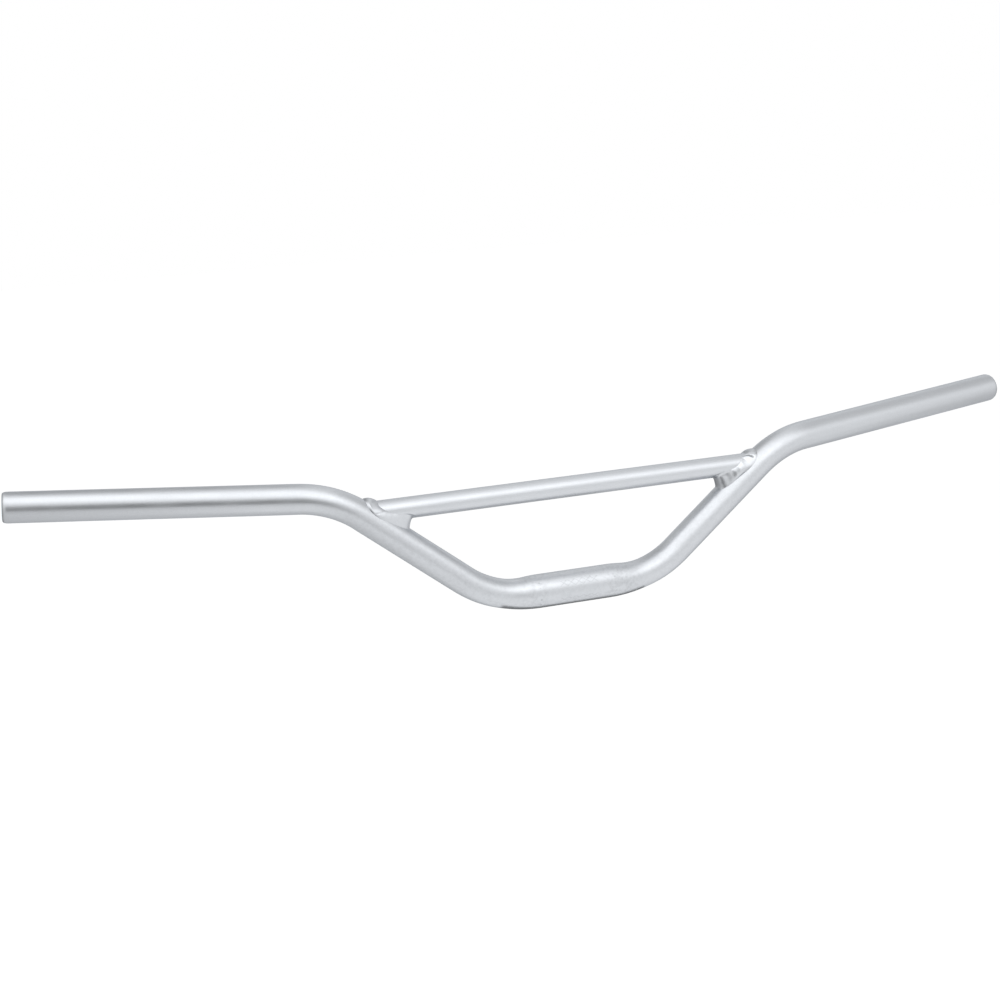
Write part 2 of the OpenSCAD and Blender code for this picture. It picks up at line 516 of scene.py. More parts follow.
@dataclass
class MainTube:
    """The bent tube: swaged middle, tapers, bends a little out of round, and open ends with rounded edges.

    The steps are the distances between rings, which lie close together over the fine half, where the cut
    lines are. The skips say which of the rings the bore keeps. Each hatch band is a span of degrees round the
    bar from its front. The worked values are shares, and their pairs are for the left and the right half.
    """

    line: BarLine
    finish: BlastedAluminium
    tube_radius: float = 11.1 * MM
    bore_radius: float = 9.1 * MM
    clamp_radius: float = 12.7 * MM
    clamp_bore_radius: float = 10.1 * MM
    clamp_half: float = 28.0 * MM
    taper: float = 32.0 * MM
    bevel: float = 0.4 * MM
    end_round: float = 3.6 * MM
    end_drop: float = 1.6 * MM
    end_steps: int = 7
    flattening: float = 0.012
    around: int = 192
    straight_step: float = 8.0 * MM
    bend_step: float = 2.0 * MM
    fine_step: float = 0.4 * MM
    fine_half: float = 33.0 * MM
    bore_skip: int = 3
    bore_skip_fine: int = 12
    bend_lead: float = 6.0 * MM
    hatch_half: float = 15.5 * MM
    hatch_pitch: float = 6.2 * MM
    hatch_depth: float = 0.08 * MM
    hatch_line: float = 0.7 * MM
    hatch_bands: tuple[tuple[float, float], ...] = ((14.0, 37.0), (-42.0, -25.0))
    dimples: tuple[Dimple, ...] = (
        Dimple(-31.6 * MM, 39.0),
        Dimple(-31.6 * MM, 19.0, 0.5 * MM, 0.06 * MM),
        Dimple(-31.2 * MM, -22.0, 0.7 * MM),
        Dimple(-31.0 * MM, -45.0, 0.7 * MM),
        Dimple(29.3 * MM, 23.0),
        Dimple(9.8 * MM, 38.0, 0.5 * MM, 0.06 * MM),
        Dimple(30.2 * MM, -28.0, 0.6 * MM, 0.06 * MM),
    )
    full_dent: float = 0.10 * MM
    hatch_shade: float = 0.26
    dent_shade: float = 0.4
    # share of painted shade on the rounded edges of the cut ends
    rim_shade: float = 0.6
    worked_all: float = 0.12
    worked_clamp: float = 0.28
    worked_swage: tuple[float, float] = (0.6, 0.9)
    worked_riser: tuple[float, float] = (0.35, 0.21)
    swage_fade: float = 12.0 * MM
    riser_fade: float = 30.0 * MM

    def radius(self, s: np.ndarray, thick: float, thin: float, rounded: bool) -> np.ndarray:
        """Radius along the bar: full over the middle, then a half wave of a cosine down to the tube's.

        At the cut end a quarter of an ellipse takes the outer edge off.

        Args:
            s: Arc lengths from the middle.
            thick: Radius of the middle.
            thin: Radius of the tube.
            rounded: Whether the outer edge is taken off.

        Returns:
            The radius at each s.
        """
        share = np.clip((s - self.clamp_half) / self.taper, 0.0, 1.0)
        over = np.clip(1.0 - (self.line.marks[4] - s) / self.end_round, 0.0, 1.0)
        drop = self.end_drop * rounded * (1.0 - np.sqrt(1.0 - over**2))
        return thin + (thick - thin) * (1.0 + np.cos(np.pi * share)) / 2.0 - drop

    def spins(self) -> np.ndarray:
        """Angles of the columns round the bar, from its front, in radians."""
        return 2 * np.pi * np.arange(self.around) / self.around

    def wrapped(self, spin: np.ndarray) -> np.ndarray:
        """The same angles between minus and plus half a turn."""
        return (spin + np.pi) % (2 * np.pi) - np.pi

    def stations(self) -> np.ndarray:
        """Arc lengths of the rings of one half, close together where the surface changes."""
        _, second, third, fourth, end = self.line.marks
        turn = np.pi / 2 * np.arange(self.end_steps + 1) / self.end_steps
        parts = [
            np.arange(0.0, self.fine_half, self.fine_step),
            np.arange(self.fine_half, second, self.bend_step),
            np.arange(second, third, self.straight_step),
            np.arange(third, fourth, self.bend_step),
            np.arange(fourth, end - self.end_round - MM, self.straight_step),
            end - self.end_round * (1.0 - np.sin(turn)),
        ]
        return np.concatenate(parts)

    def hatch(self, s: np.ndarray, spin: np.ndarray) -> np.ndarray:
        """Depth of the criss-cross lines on the front of the middle.

        Two sets of slanted lines, s + arc and s - arc at multiples of the pitch, each a narrow bell across.
        They are kept inside two bands of angle and inside the half length of the patch.

        Args:
            s: Signed distance along the bar, of shape (n, 1).
            spin: Angle round the bar from its front, in radians, of shape (1, m).

        Returns:
            Depths of shape (n, m), as shares of the full depth.
        """
        arc = spin * self.clamp_radius
        depth = np.zeros(np.broadcast(s, spin).shape)
        for low, high in self.hatch_bands:
            low_arc, high_arc = (math.radians(edge) * self.clamp_radius for edge in (low, high))
            tall = arc - (low_arc + high_arc) / 2
            slant = self.hatch_pitch / (high_arc - low_arc) * tall
            lines = np.zeros_like(depth)
            for sign in (1.0, -1.0):
                phase = (s + sign * slant) / self.hatch_pitch
                off = (phase - np.round(phase)) * self.hatch_pitch
                lines = np.maximum(lines, np.exp(-((off / (self.hatch_line / 2)) ** 2)))
            inside = (arc > low_arc) & (arc < high_arc) & (np.abs(s) < self.hatch_half)
            depth = np.maximum(depth, lines * inside)
        return depth

    def dents(self, s: np.ndarray, spin: np.ndarray) -> tuple[np.ndarray, np.ndarray]:
        """Depth and shade of the small dents, each a bell: e to minus the squared distance in radii.

        Args:
            s: Signed distance along the bar, of shape (n, 1).
            spin: Angle round the bar from its front, in radians, of shape (1, m).

        Returns:
            Depths in metres and shades from 0 to 1, both of shape (n, m).
        """
        depth, shade = np.zeros(np.broadcast(s, spin).shape), np.zeros(np.broadcast(s, spin).shape)
        for dent in self.dimples:
            arc = (spin - math.radians(dent.spin)) * self.clamp_radius
            bell = np.exp(-((s - dent.along) ** 2 + arc**2) / dent.radius**2)
            depth, shade = depth + bell * dent.depth, shade + bell * dent.depth / self.full_dent
        return depth, shade

    def marks(self, s: np.ndarray, spin: np.ndarray) -> dict[str, np.ndarray]:
        """Point attributes of the outside: cut lines and dents are dull, swaged metal is worked.

        The rounded edges of the cut ends get painted shade.

        Args:
            s: Signed distance along the bar, of shape (n, 1).
            spin: Angle round the bar from its front, in radians, of shape (1, m).

        Returns:
            "shade" and "worked", both of shape (n, m).
        """
        first, _, third, fourth, end = self.line.marks
        a = np.abs(s)
        swage_start, swage_stop = self.clamp_half, self.clamp_half + self.taper
        # painted shade: the rounded outer edge of each cut end goes towards the dull colour
        rim = smooth_step(a, end - 0.5 * self.end_round, end - 0.05 * self.end_round)
        dull = self.hatch_shade * self.hatch(s, spin) + self.dent_shade * self.dents(s, spin)[1]
        shade = dull + self.rim_shade * rim
        swaged = smooth_step(a, swage_start - self.swage_fade, swage_start)
        swaged = swaged * (1 - smooth_step(a, swage_start + self.swage_fade, swage_stop))
        swaged = swaged * np.where(s > 0, self.worked_swage[1], self.worked_swage[0])
        clamped = self.worked_clamp * (1 - smooth_step(a, swage_start, swage_stop))
        riser = smooth_step(a, first, first + self.riser_fade) * (1 - smooth_step(a, third, fourth))
        riser = riser * np.where(s > 0, self.worked_riser[1], self.worked_riser[0])
        worked = np.maximum(np.maximum(swaged, clamped), riser) + self.worked_all
        return {"shade": shade, "worked": worked + 0.0 * spin}

    def surface(self, thick: float, thin: float, s: np.ndarray, marked: bool) -> np.ndarray:
        """Round surface about the bent centreline.

        Point (i, j) is the centre at s[i] plus the radius times the cosine of the angle along the front
        direction and its sine along the up direction. In a bend the section is a little flat across the
        bend's plane: the radius loses a share that follows the cosine of twice the angle from that plane.

        Args:
            thick: Radius of the middle.
            thin: Radius of the tube.
            s: Signed arc lengths, of shape (n,).
            marked: Whether it is the outside, which has the hatch, the dents and the rounded ends.

        Returns:
            Points of shape (n, around, 3).
        """
        spin, a, lead = self.spins(), np.abs(s), self.bend_lead
        centre, _, front, up = self.line.at(a)
        sign = np.where(s < 0, -1.0, 1.0)
        mirror = np.stack([sign, np.ones(len(s)), np.ones(len(s))], -1)
        centre, front, up = centre * mirror, front * mirror, up * mirror
        radius = self.radius(a, thick, thin, marked)[:, None] * np.ones((1, self.around))
        first, second, third, fourth, _ = self.line.marks
        low_bend, high_bend = (self.line.lower_bend, first, second), (self.line.upper_bend, third, fourth)
        for bend, low, high in (low_bend, high_bend):
            share = smooth_step(a, low - lead, low + lead) * (1 - smooth_step(a, high - lead, high + lead))
            toward = bend.toward * mirror
            angle = np.arctan2((toward * up).sum(1), (toward * front).sum(1))
            radius *= 1 - self.flattening * share[:, None] * np.cos(2 * (spin[None] - angle[:, None]))
        if marked:
            spot = s[:, None], self.wrapped(spin)[None]
            radius -= self.hatch(*spot) * self.hatch_depth + self.dents(*spot)[0]
        ring = np.cos(spin)[None, :, None] * front[:, None] + np.sin(spin)[None, :, None] * up[:, None]
        return centre[:, None] + radius[:, :, None] * ring

    def build(self) -> bpy.types.Object:
        """Builds the tube as one closed skin: along the outside, round both cut ends, back through the bore.

        Returns:
            The piece, which stands for the plain tube.
        """
        half = self.stations()
        s = np.concatenate([-half[:0:-1], half])
        outer = self.surface(self.clamp_radius, self.tube_radius, s, True)
        end = self.line.marks[4]
        order = np.arange(len(half))
        kept = order % np.where(half > self.fine_half, self.bore_skip, self.bore_skip_fine) == 0
        coarse = np.concatenate([half[kept & (half < end - self.end_round)], [end - self.bevel, end]])
        inner_s = np.concatenate([-coarse[:0:-1], coarse])
        inner = self.surface(self.clamp_bore_radius, self.bore_radius, inner_s, False)
        for k in (0, -1):
            inner[k] = inner[k] + unit(inner[k] - inner[k].mean(0)) * self.bevel
        points = np.concatenate([outer, inner[::-1]])
        marks = self.marks(s[:, None], self.wrapped(self.spins())[None])
        marks = {name: np.pad(values, ((0, len(inner)), (0, 0))) for name, values in marks.items()}
        marks = {name: values[:, ::-1] for name, values in marks.items()}
        piece = grid_mesh("tube_skin", points[:, ::-1], marks)
        dress(piece, self.finish.material())
        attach(piece, "root")
        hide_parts("main_tube")
        return piece


@dataclass
class CrossBrace:
    """The straight brace tube, which keeps its coped shape and gets its finish."""

    finish: BlastedAluminium

    def build(self) -> bpy.types.Object:
        """Dresses the brace.

        Returns:
            The brace's node.
        """
        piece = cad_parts["cross_brace"]
        for slot in piece.material_slots:
            slot.material = self.finish.material()
        return piece


@dataclass(frozen=True)
class Dab:
    """A soft oval rise, dip or patch of painted shade on the face of a weld bead.

    Attributes:
        turn: Degrees round the joint, from its top through its front.
        across: Place between the toe on the brace, 0, and the toe on the bar, 1.
        wide: Degrees round the joint in which it fades to a third.
        tall: Share of the face in which it fades to a third.
        amount: Height in metres, negative for a dip, or the strength of a patch of painted shade.
    """

    turn: float
    across: float
    wide: float
    tall: float
    amount: float

    def at(self, turn: np.ndarray, across: np.ndarray) -> np.ndarray:
        """How much of the dab there is: e to minus the squared distance in its own widths.

        Args:
            turn: Degrees round the joint, of shape (n, 1).
            across: Places across the face, of shape (1, m).

        Returns:
            Amounts of shape (n, m).
        """
        off = (turn - self.turn + 180.0) % 360.0 - 180.0
        return self.amount * np.exp(-((off / self.wide) ** 2) - ((across - self.across) / self.tall) ** 2)


@dataclass(frozen=True)
class Crease:
    """A narrow groove where two runs of weld metal meet.

    Attributes:
        turn: Degrees round the joint, from its top through its front, at the brace's toe.
        lean: Degrees that it gains on the way to the bar's toe.
        start: Place across the face where it starts.
        stop: Place across the face where it stops.
        wide: Degrees in which it fades to a third.
        depth: Depth in metres.
    """

    turn: float
    lean: float
    start: float
    stop: float
    wide: float
    depth: float

    def at(self, turn: np.ndarray, across: np.ndarray) -> np.ndarray:
        """Share of the depth: a bell about a leaning line, which fades in and out at its two ends.

        Args:
            turn: Degrees round the joint, of shape (n, 1).
            across: Places across the face, of shape (1, m).

        Returns:
            Shares of shape (n, m).
        """
        off = (turn - self.turn - self.lean * across + 180.0) % 360.0 - 180.0
        ends = smooth_step(across, self.start - 0.06, self.start + 0.06)
        ends = ends * (1 - smooth_step(across, self.stop - 0.06, self.stop + 0.06))
        return np.exp(-((off / self.wide) ** 2)) * ends


@dataclass(frozen=True)
class BeadShape:
    """How the weld metal lies round one joint, as the welder's hand left it.

    Attributes:
        brace_top: Reach along the brace at the top.
        brace_side: Reach along the brace on the front and the back.
        brace_swell: Degrees from the top at which the reach along the brace is longer, degrees in which this
            fades to a third, and how much longer it is.
        bar_top: Reach along the bar at the top.
        bar_side: Reach along the bar on the front and the back.
        bar_web: Reach along the bar below the web.
        bar_power: How suddenly the reach along the bar grows into the web.
        crown_top: Height of the face over the line between its toes, at the top.
        crown_side: The same height on the front and the back.
        ripple: Height of the ripples.
        toe_shade: Painted shade along both toes.
        dabs: Rises and dips.
        shade_patches: Patches of painted shade in the web's corners, beside the toes and below the brace's
            top.
        creases: Grooves.
    """

    brace_top: float
    brace_side: float
    brace_swell: tuple[float, float, float]
    bar_top: float
    bar_side: float
    bar_web: float
    bar_power: float
    crown_top: float
    crown_side: float
    ripple: float
    toe_shade: float
    dabs: tuple[Dab, ...]
    shade_patches: tuple[Dab, ...]
    creases: tuple[Crease, ...]


LEFT_SHAPE = BeadShape(
    brace_top=6.5 * MM,
    brace_side=4.5 * MM,
    brace_swell=(90.0, 30.0, 0.0),
    bar_top=4.5 * MM,
    bar_side=4.5 * MM,
    bar_web=11.3 * MM,
    bar_power=10.0,
    crown_top=1.6 * MM,
    crown_side=1.5 * MM,
    ripple=0.025 * MM,
    toe_shade=0.16,
    dabs=(
        Dab(0.0, 0.72, 30.0, 0.30, 0.45 * MM),
        Dab(54.0, 0.86, 20.0, 0.10, 0.45 * MM),
        Dab(62.0, 0.45, 16.0, 0.25, -0.25 * MM),
        Dab(135.0, 0.50, 32.0, 0.60, -0.55 * MM),
        Dab(-50.0, 0.50, 24.0, 0.40, 0.25 * MM),
        Dab(-120.0, 0.60, 30.0, 0.40, -0.35 * MM),
    ),
    # patches of painted shade: the web's corners, beside the bar's toe and below the brace's top edge
    shade_patches=(
        Dab(180.0, 0.05, 8.0, 0.16, 0.80),
        Dab(178.0, 0.97, 10.0, 0.12, 0.55),
        Dab(160.0, 0.98, 14.0, 0.10, 0.30),
        Dab(16.0, 0.30, 20.0, 0.30, 0.25),
        Dab(20.0, 0.95, 22.0, 0.10, 0.30),
    ),
    creases=(
        Crease(103.0, -24.0, 0.0, 1.0, 3.5, 0.16 * MM),
        Crease(30.0, 10.0, 0.0, 0.6, 7.0, 0.15 * MM),
        Crease(-84.0, 20.0, 0.0, 1.0, 4.0, 0.20 * MM),
    ),
)
RIGHT_SHAPE = BeadShape(
    brace_top=6.5 * MM,
    brace_side=4.5 * MM,
    brace_swell=(88.0, 32.0, 4.6 * MM),
    bar_top=4.8 * MM,
    bar_side=3.2 * MM,
    bar_web=12.4 * MM,
    bar_power=12.0,
    crown_top=1.3 * MM,
    crown_side=1.9 * MM,
    ripple=0.035 * MM,
    toe_shade=0.10,
    dabs=(
        Dab(-6.0, 0.55, 28.0, 0.50, 0.35 * MM),
        Dab(68.0, 0.40, 14.0, 0.40, 0.30 * MM),
        Dab(124.0, 0.80, 24.0, 0.34, 0.45 * MM),
        Dab(169.0, 0.50, 9.0, 0.60, 1.10 * MM),
        Dab(160.0, 0.26, 5.0, 0.12, -0.30 * MM),
        Dab(-70.0, 0.50, 30.0, 0.50, 0.25 * MM),
        Dab(-135.0, 0.40, 20.0, 0.30, -0.30 * MM),
    ),
    # patches of painted shade: the web's edge and corners, along the bar's toe and below the brace's top edge
    shade_patches=(
        Dab(180.0, 0.50, 9.0, 0.70, 0.80),
        Dab(168.0, 0.62, 5.0, 0.16, 0.35),
        Dab(160.0, 0.28, 5.0, 0.10, 0.30),
        Dab(118.0, 0.97, 32.0, 0.10, 0.38),
        Dab(10.0, 0.50, 24.0, 0.60, 0.18),
    ),
    creases=(
        Crease(42.0, 20.0, 0.0, 0.78, 4.5, 0.60 * MM),
        Crease(-44.0, -20.0, 0.0, 0.8, 5.0, 0.30 * MM),
    ),
)


@dataclass
class WeldBead:
    """A ring of weld metal round one end of the brace, with a web in the sharp corner below it.

    The web's tails are the shares of a leg by which it runs on past the toe on the brace and the toe on the
    bar, and its fillets are how softly it meets the tubes there. The dips are how deep the toes and the root
    lie in the tubes. A higher power keeps the top, the web or a leg's growth closer to its place.
    """

    line: BarLine
    side: Side
    finish: BlastedAluminium
    node: str
    shape: BeadShape
    tube_radius: float = 11.1 * MM
    brace_radius: float = 7.95 * MM
    brace_height: float = 75.3 * MM
    web_leg: float = 11.0 * MM
    web_hollow: float = 0.2 * MM
    web_tails: tuple[float, float] = (0.32, 0.14)
    web_fillets: tuple[float, float] = (0.20, 0.09)
    ripples: int = 24
    ripple_bow: float = 1.2
    toe_dip: float = 0.4 * MM
    root_dip: float = 1.2 * MM
    top_power: int = 4
    web_power: int = 8
    brace_power: int = 14
    crown_power: float = 0.65
    toe_band: tuple[float, float] = (0.03, 0.14)
    toe_fade: float = 0.08
    full_crease: float = 0.6 * MM
    # share of painted shade in a crease of full depth
    crease_shade: float = 0.6
    rings: int = 480
    steps: int = 32

    def root(self, phi: np.ndarray) -> np.ndarray:
        """Root of the joint: where the brace's surface enters the bar, found by halving the interval.

        Args:
            phi: Angles round the brace from its top, in radians.

        Returns:
            Points of shape (n, 3).
        """
        y = -self.brace_radius * np.sin(phi)
        z = self.brace_height + self.brace_radius * np.cos(phi)
        low = np.full_like(phi, self.line.lower_corner_x)
        high = self.line.lower_corner_x + z / math.tan(self.line.riser_angle)
        for _ in range(30):
            middle = (low + high) / 2
            q = np.stack([middle, y, z], -1)
            outside = np.linalg.norm(q - self.line.nearest(q), axis=1) > self.tube_radius
            low, high = np.where(outside, middle, low), np.where(outside, high, middle)
        return np.stack([(low + high) / 2, y, z], -1)

    def across(self) -> np.ndarray:
        """Places across the face, close together near both toes, where the face is steep."""
        return (1 - np.cos(np.pi * np.arange(self.steps + 1) / self.steps)) / 2

    def relief(self, phi: np.ndarray, web: np.ndarray) -> tuple[np.ndarray, np.ndarray]:
        """Height of the face over the line between its toes, and its painted shade.

        The crown is a parabola to a power under one, so its flanks are steep. Ripples are a cosine round the
        joint, bowed like the back of a weld pool. Dabs and creases are added, and fade out at the toes.
        Painted shade lies along the toes, in the creases and in patches.

        Args:
            phi: Angles round the joint from its top through its front, in radians.
            web: How much of the web there is at each angle, from 0 to 1.

        Returns:
            Heights and shades, both of shape (rings, steps + 1).
        """
        t = self.across()[None]
        turn = np.degrees(phi)[:, None]
        top = ((1 + np.cos(phi)) / 2)[:, None] ** self.top_power
        hump = 4 * t * (1 - t)
        inward = np.minimum(t, 1 - t)
        crown = self.shape.crown_side + (self.shape.crown_top - self.shape.crown_side) * top
        crown = crown * (1 - web) - self.web_hollow * web
        wave = np.cos(self.ripples * phi[:, None] - self.ripple_bow * (2 * t - 1) ** 2)
        height = crown * hump**self.crown_power + self.shape.ripple * wave * hump
        # painted shade along both toes, where the bead's flanks overhang the tubes
        shade = self.shape.toe_shade * (1 - smooth_step(inward, *self.toe_band)) + 0.0 * turn
        fade = smooth_step(inward, 0.0, self.toe_fade)
        for dab in self.shape.dabs:
            height = height + dab.at(turn, t) * fade
        for crease in self.shape.creases:
            share = crease.at(turn, t) * fade
            height = height - crease.depth * share
            # painted shade in each crease, the stronger the deeper it is
            deep = min(1.0, crease.depth / self.full_crease)
            shade = np.maximum(shade, deep * self.crease_shade * share)
        # patches of painted shade laid over the rest
        for shade_patch in self.shape.shade_patches:
            shade = np.maximum(shade, shade_patch.at(turn, t))
        return height, shade

    def legs(self, phi: np.ndarray) -> tuple[np.ndarray, np.ndarray]:
        """Reach of the bead along the brace and along the bar.

        Both grow into a web below the joint, where the share (1 - cos) / 2 of the angle nears one.

        Args:
            phi: Angles round the joint from its top through its front, in radians.

        Returns:
            Both reaches in metres, of shape (rings, 1).
        """
        shape = self.shape
        low = ((1 - np.cos(phi)) / 2)[:, None]
        top = ((1 + np.cos(phi)) / 2)[:, None] ** self.top_power
        turn, wide, more = shape.brace_swell
        brace_leg = shape.brace_side + (shape.brace_top - shape.brace_side) * top
        brace_leg = brace_leg + (self.web_leg - shape.brace_side) * low**self.brace_power
        brace_leg = brace_leg + more * np.exp(-(((np.degrees(phi)[:, None] - turn) / wide) ** 2))
        bar_leg = shape.bar_side + (shape.bar_top - shape.bar_side) * top
        return brace_leg, bar_leg + (shape.bar_web - shape.bar_side) * low**shape.bar_power

    def points(self) -> tuple[np.ndarray, np.ndarray]:
        """Rings of the bead.

        At each angle the ring runs from a toe on the brace over a rounded face to a toe on the bar, and back
        through a root that lies inside both tubes. The web's two ends run out tangent to the tubes: each
        share of a leg is half of x plus the root of x squared plus the fillet squared, a hyperbola.

        Returns:
            Points of shape (rings, steps + 2, 3), and their shades of shape (rings, steps + 2).
        """
        phi = 2 * np.pi * np.arange(self.rings) / self.rings
        root = self.root(phi)
        step = math.radians(1.0)
        run = unit(self.root(phi + step) - self.root(phi - step))
        brace_out = np.stack([np.zeros_like(phi), -np.sin(phi), np.cos(phi)], -1)
        bar_out = unit(root - self.line.nearest(root))
        on_brace = unit(np.cross(run, brace_out))
        on_bar = unit(np.cross(bar_out, run))
        brace_leg, bar_leg = self.legs(phi)
        brace_flat = root + on_brace * brace_leg
        bar_flat = root + on_bar * bar_leg
        brace_axis = brace_flat * np.array([1.0, 0.0, 0.0]) + np.array([0.0, 0.0, self.brace_height])
        bar_axis = self.line.nearest(bar_flat)
        brace_toe = brace_axis + unit(brace_flat - brace_axis) * (self.brace_radius - self.toe_dip)
        bar_toe = bar_axis + unit(bar_flat - bar_axis) * (self.tube_radius - self.toe_dip)
        buried = root - unit(brace_out + bar_out) * self.root_dip
        outward = unit((brace_toe + bar_toe) / 2 - buried)
        web = ((1 - np.cos(phi)) / 2)[:, None] ** self.web_power
        height, shade = self.relief(phi, web)
        t = self.across()[None]
        t = t + web * (t * self.web_tails[1] - (1 - t) * self.web_tails[0])
        on_bar_share = (t + np.sqrt(t**2 + (web * self.web_fillets[0]) ** 2)) / 2
        on_brace_share = (1 - t + np.sqrt((1 - t) ** 2 + (web * self.web_fillets[1]) ** 2)) / 2
        face = root[:, None] + on_brace_share[:, :, None] * (brace_toe - root)[:, None]
        face = face + on_bar_share[:, :, None] * (bar_toe - root)[:, None]
        face = face + outward[:, None] * height[:, :, None]
        return np.concatenate([face, buried[:, None]], axis=1), np.pad(shade, ((0, 0), (0, 1)))

    def build(self) -> bpy.types.Object:
        """Builds the bead on its side of the bar.

        Returns:
            The piece, which stands for the plain bead.
        """
        points, shade = self.points()
        points = points * np.array([self.side.value, 1.0, 1.0])
        if self.side is Side.RIGHT:
            points, shade = points[:, ::-1], shade[:, ::-1]
        piece = grid_mesh(f"{self.node}_skin", points, {"shade": shade}, sharp_degrees=60.0)
        dress(piece, self.finish.material())
        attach(piece, "root")
        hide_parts(self.node)
        return piece


def axes_at(azimuth: float, elevation: float) -> tuple[np.ndarray, np.ndarray, np.ndarray]:
    """Axes of something that stands off the bar and looks at its middle.

    Args:
        azimuth: Degrees round the bar, from its front towards +X.
        elevation: Degrees above the level of the bar.

    Returns:
        Unit vectors to its right, up and away from the bar.
    """
    az, el = math.radians(azimuth), math.radians(elevation)
    back = np.array([math.sin(az) * math.cos(el), -math.cos(az) * math.cos(el), math.sin(el)])
    right = np.array([math.cos(az), math.sin(az), 0.0])
    return right, np.cross(back, right), back


def swung(a: np.ndarray, b: np.ndarray, degrees: float) -> tuple[np.ndarray, np.ndarray]:
    """Two axes, the first turned towards the second and the second with it."""
    c, s = math.cos(math.radians(degrees)), math.sin(math.radians(degrees))
    return c * a + s * b, c * b - s * a


def placed(*columns: np.ndarray) -> Matrix:
    """Matrix with an object's three axes and its place as columns."""
    return Matrix([list(row) for row in np.column_stack(columns)] + [[0.0, 0.0, 0.0, 1.0]])


@dataclass
class PhotoCamera:
    """Camera that takes the photograph's view.

    Angles are in degrees: azimuth and elevation place the camera round the middle of the bar, pan and tilt
    turn it away from there, and roll turns the picture. The principal point and focal length are pixels of a
    square picture.
    """

    azimuth: float = -23.146
    elevation: float = 10.562
    distance: float = 1654.75 * MM
    pan: float = 1.0904
    tilt: float = -2.3196
    roll: float = -4.0459
    focal: float = 2201.785
    centre_x: float = 525.151
    centre_y: float = 499.776

    def build(self) -> bpy.types.Object:
        """Builds the camera and makes it the scene's.

        Returns:
            The camera object.
        """
        right, up, back = axes_at(self.azimuth, self.elevation)
        place = back * self.distance
        back, right = swung(back, right, self.pan)
        back, up = swung(back, up, self.tilt)
        right, up = swung(right, up, self.roll)
        data = bpy.data.cameras.new("photo_camera")
        data.sensor_width = 36.0
        data.lens = self.focal * data.sensor_width / PHOTO_SIDE
        data.shift_x = (PHOTO_SIDE / 2 - self.centre_x) / PHOTO_SIDE
        data.shift_y = (self.centre_y - PHOTO_SIDE / 2) / PHOTO_SIDE
        data.clip_end = 100.0
        camera = bpy.data.objects.new("photo_camera", data)
        camera.matrix_world = placed(right, up, back, place)
        bpy.context.scene.collection.objects.link(camera)
        bpy.context.scene.camera = camera
        return camera


@dataclass(frozen=True)
class Panel:
    """A flat rectangle that faces the middle of the bar.

    Attributes:
        name: Name of the object.
        azimuth: Degrees round the bar, from its front towards +X.
        elevation: Degrees above the level of the bar.
        distance: Distance from the middle of the bar, in metres.
        width: Width in metres.
        height: Height in metres.
        light: What a lamp's face adds to the room's light, or the brightness of a card's face. 1 is white.
        shift: How far it is moved along its height, in metres.
    """

    name: str
    azimuth: float
    elevation: float
    distance: float
    width: float
    height: float
    light: float
    shift: float = 0.0

    def put(self, data: bpy.types.ID) -> bpy.types.Object:
        """Puts an object with this data in its place, unseen by the camera.

        Args:
            data: The lamp or the mesh.

        Returns:
            The new object.
        """
        right, up, back = axes_at(self.azimuth, self.elevation)
        thing = bpy.data.objects.new(self.name, data)
        thing.matrix_world = placed(right, up, back, back * self.distance + up * self.shift)
        thing.visible_camera = False
        bpy.context.scene.collection.objects.link(thing)
        return thing


class SoftBox(Panel):
    """A large flat lamp with a cloth front."""

    def build(self) -> None:
        """Builds the lamp."""
        data = bpy.data.lights.new(self.name, "AREA")
        data.shape = "RECTANGLE"
        data.size, data.size_y = self.width, self.height
        data.energy = self.light * math.pi * self.width * self.height
        self.put(data)


class GreyCard(Panel):
    """A glowing card seen only in reflections: a painted dark line on the metal, as a studio's dark side."""

    def build(self) -> None:
        """Builds the card as one rectangle with a plain face."""
        x, y = self.width / 2, self.height / 2
        mesh = bpy.data.meshes.new(self.name)
        mesh.from_pydata([(-x, -y, 0), (x, -y, 0), (x, y, 0), (-x, y, 0)], [], [(0, 1, 2, 3)])
        face = bpy.data.materials.new(self.name)
        tree = empty_tree(face)
        glow = add_node(tree, "ShaderNodeEmission", {"Strength": self.light})
        add_node(tree, "ShaderNodeOutputMaterial", {}, {"Surface": glow.outputs[0]})
        mesh.materials.append(face)
        card = self.put(mesh)
        card.visible_diffuse = card.visible_shadow = card.visible_transmission = False


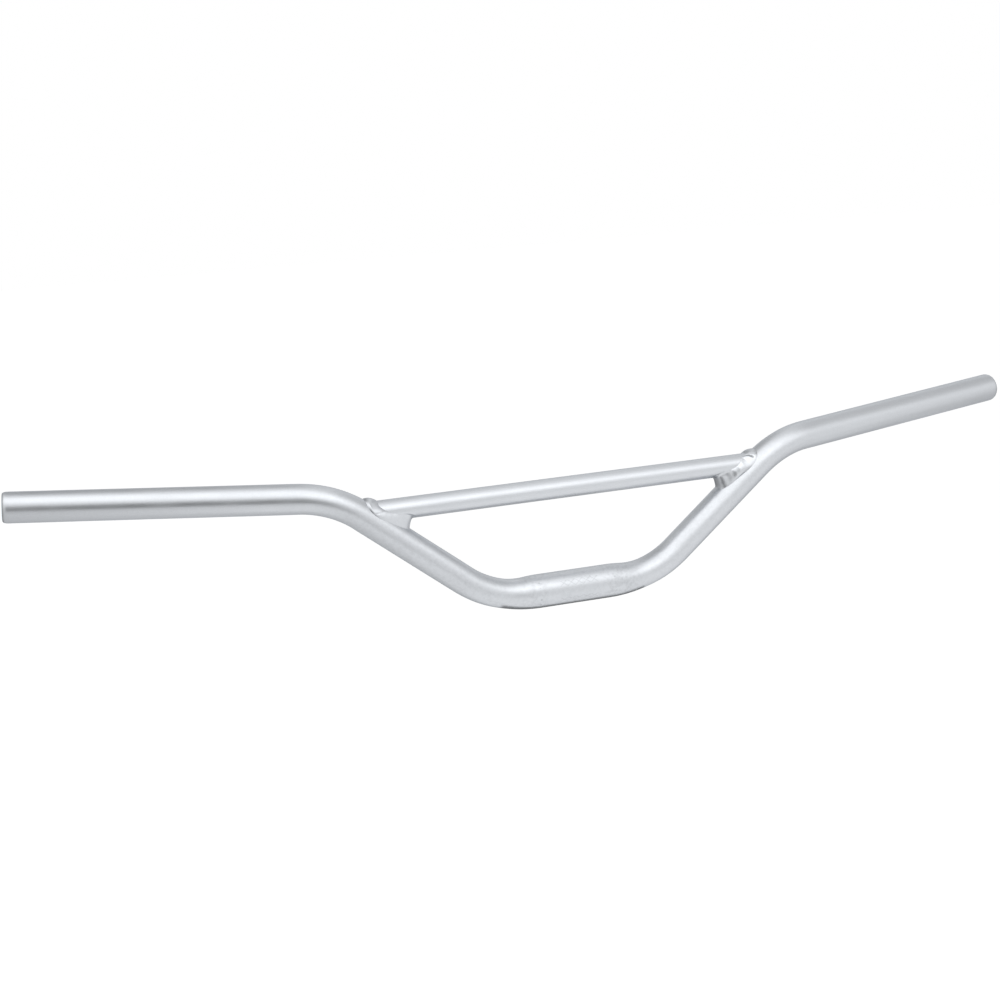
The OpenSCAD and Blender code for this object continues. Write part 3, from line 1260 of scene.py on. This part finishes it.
@dataclass
class Studio:
    """Plain pale floor, white room, two soft lamps and grey glowing cards that paint the metal's dark
    reflections.

    The room has its own strength for light that spreads. The floor's paint and its glow add up to white.
    """

    floor_height: float = -0.70
    floor_half: float = 30.0
    floor_paint: float = 0.5
    floor_glow: float = 0.65
    room: float = 0.75
    lamps: tuple[SoftBox, ...] = (
        SoftBox("key_box", -26.4, 57.0, 2.3, 4.0, 1.82, 0.67),
        SoftBox("fill_box", 21.5, 28.2, 2.3, 2.16, 1.1, 0.62),
    )
    cards: tuple[GreyCard, ...] = (
        GreyCard("front_card", -18.2, -14.9, 1.9, 1.39, 2.11, 0.10),
        GreyCard("back_card", 186.0, 55.4, 2.4, 1.33, 2.17, 0.52),
        GreyCard("high_card", 90.7, 43.3, 2.17, 1.83, 1.36, 0.67),
        GreyCard("right_card", 95.6, -9.4, 0.8, 0.6, 0.43, 0.69),
        GreyCard("left_card", -96.3, -45.9, 0.74, 2.5, 1.38, 0.76, 0.45),
        # painted shadow: two glowing cards just under the bar, seen only in reflections, stand for a table in
        # the bar's shade and the contact shadow under its middle
        GreyCard("under_shade_card", 0.0, -90.0, 0.0145, 0.80, 0.14, 0.80, -0.072),
        GreyCard("contact_shadow_card", 0.0, -90.0, 0.0135, 0.12, 0.036, 0.30, -0.0115),
    )

    def seen(self, tree: bpy.types.NodeTree, unseen: float, shown: float) -> bpy.types.NodeSocket:
        """Strength with one value where the eye, a mirror or glass looks, and another for spread light.

        Args:
            tree: Node tree that gets the nodes.
            unseen: Strength for light that spreads.
            shown: Strength for what is seen.

        Returns:
            The socket that carries the strength.
        """
        ray = add_node(tree, "ShaderNodeLightPath").outputs
        direct = maths(tree, "MAXIMUM", {0: ray["Is Camera Ray"], 1: ray["Is Glossy Ray"]})
        every = maths(tree, "MAXIMUM", {0: direct, 1: ray["Is Transmission Ray"]})
        ends = {"To Min": unseen, "To Max": shown}
        return add_node(tree, "ShaderNodeMapRange", ends, {"Value": every}).outputs["Result"]

    def build_floor(self) -> None:
        """Builds the floor, whose paint takes the object's shadow and which looks white to the eye."""
        half, z, grey = self.floor_half, self.floor_height, self.floor_paint
        mesh = bpy.data.meshes.new("floor")
        corners = [(-half, -half, z), (half, -half, z), (half, half, z), (-half, half, z)]
        mesh.from_pydata(corners, [], [(0, 1, 2, 3)])
        paint = bpy.data.materials.new("matt_white_floor")
        tree = empty_tree(paint)
        glow = add_node(tree, "ShaderNodeEmission", {}, {"Strength": self.seen(tree, 0.0, self.floor_glow)})
        matt = add_node(tree, "ShaderNodeBsdfDiffuse", {"Color": (grey, grey, grey, 1.0)})
        both = add_node(tree, "ShaderNodeAddShader", {}, {0: glow.outputs[0], 1: matt.outputs[0]})
        add_node(tree, "ShaderNodeOutputMaterial", {}, {"Surface": both.outputs[0]})
        mesh.materials.append(paint)
        floor = bpy.data.objects.new("floor", mesh)
        bpy.context.scene.collection.objects.link(floor)

    def build_room(self) -> None:
        """Builds the plain white room."""
        world = bpy.data.worlds.new("room")
        tree = empty_tree(world)
        white = {"Color": (1.0, 1.0, 1.0, 1.0)}
        glow = add_node(tree, "ShaderNodeBackground", white, {"Strength": self.seen(tree, self.room, 1.0)})
        add_node(tree, "ShaderNodeOutputWorld", {}, {"Surface": glow.outputs[0]})
        bpy.context.scene.world = world

    def build(self) -> None:
        """Builds the stage, its lamps and its cards."""
        self.build_floor()
        self.build_room()
        for thing in (*self.lamps, *self.cards):
            thing.build()


def main() -> None:
    """Builds the pieces in order and reports each one."""
    line = BarLine()
    left_metal = BlastedAluminium("blasted_weld_left", roughness=0.36)
    right_metal = BlastedAluminium("blasted_weld_right", roughness=0.33)
    pieces = [
        MainTube(line, BlastedAluminium("blasted_tube")).build(),
        CrossBrace(BlastedAluminium("blasted_brace")).build(),
        WeldBead(line, Side.LEFT, left_metal, "weld_bead_left", LEFT_SHAPE).build(),
        WeldBead(line, Side.RIGHT, right_metal, "weld_bead_right", RIGHT_SHAPE).build(),
    ]
    for piece in pieces:
        LOG.info("%s: %d faces", piece.name, len(piece.data.polygons))
    PhotoCamera().build()
    Studio().build()
    view = bpy.context.scene.view_settings
    view.view_transform = "Standard"


if __name__ == "__main__":
    main()
